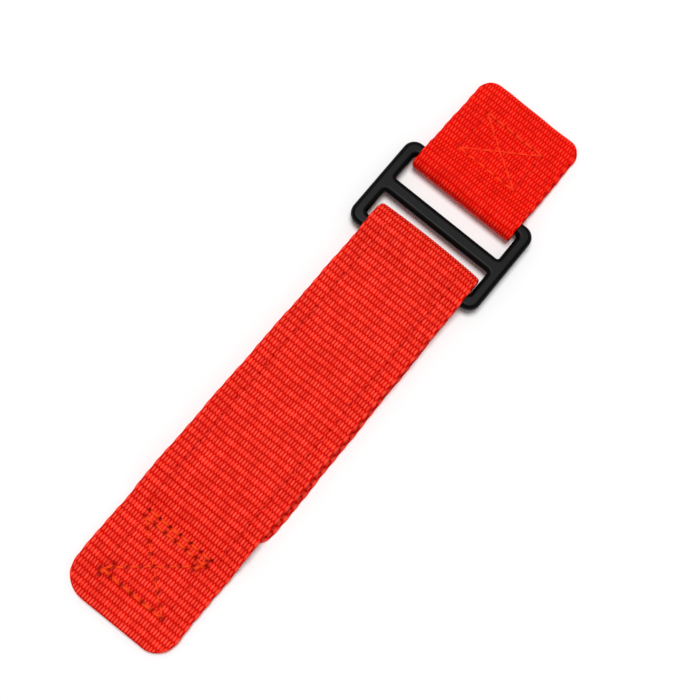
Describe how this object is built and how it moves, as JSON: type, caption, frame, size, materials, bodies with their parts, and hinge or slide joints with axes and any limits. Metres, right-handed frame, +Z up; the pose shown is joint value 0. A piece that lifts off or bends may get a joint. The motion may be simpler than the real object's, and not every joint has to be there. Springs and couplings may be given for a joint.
{
  "type": "cinch strap",
  "caption": "Folded webbing cinch strap on a flat two-window slide buckle, with a short sewn pull tab, lying flat.",
  "frame": {"origin": "on the supporting surface, under the middle of the bounding box", "axes": "+X along the strap from its free tip to the pull tab, +Y across the webbing, +Z up out of the supporting surface"},
  "size_m": [0.2006, 0.0488, 0.0084],
  "materials": {
    "webbing": "woven, dry, soft sheen",
    "tab_webbing": "woven, dry, soft sheen",
    "hook_tape": "moulded hooks on a woven ground",
    "loop_tape": "napped loops",
    "thread": "bonded sewing thread",
    "buckle": "moulded, fine satin grain"
  },
  "bodies": {
    "buckle": {"buckle_frame": "buckle"},
    "pull_tab": {"tab_webbing": "tab_webbing", "tab_box_stitch": "thread"},
    "strap_base": {"return_webbing": "webbing", "hook_tape": "hook_tape", "hook_tape_stitches": "thread", "fold_stitches": "thread"},
    "strap_front": {"front_webbing": "webbing", "loop_tape": "loop_tape", "front_stitches": "thread"},
    "strap_tip": {"tip_webbing": "webbing", "loop_tape_end": "loop_tape", "tape_end_stitches": "thread", "tip_hook_patch": "hook_tape", "tip_box_stitch": "thread"}
  },
  "joints": [
    {"name": "strap_swing", "type": "hinge", "parent": "buckle", "child": "strap_base", "pos_m": [0.03815, 0, 0.00395], "axis": [0, 1, 0], "range_deg": [0, 80]},
    {"name": "front_peel", "type": "hinge", "parent": "strap_base", "child": "strap_front", "pos_m": [0.02921, 0, 0.0058], "axis": [0, 1, 0], "range_deg": [0, 55]},
    {"name": "tip_lift", "type": "hinge", "parent": "strap_front", "child": "strap_tip", "pos_m": [-0.06, 0, 0.0058], "axis": [0, 1, 0], "range_deg": [0, 100]},
    {"name": "tab_swing", "type": "hinge", "parent": "buckle", "child": "pull_tab", "pos_m": [0.06655, 0, 0.00395], "axis": [0, -1, 0], "range_deg": [0, 80]}
  ]
}
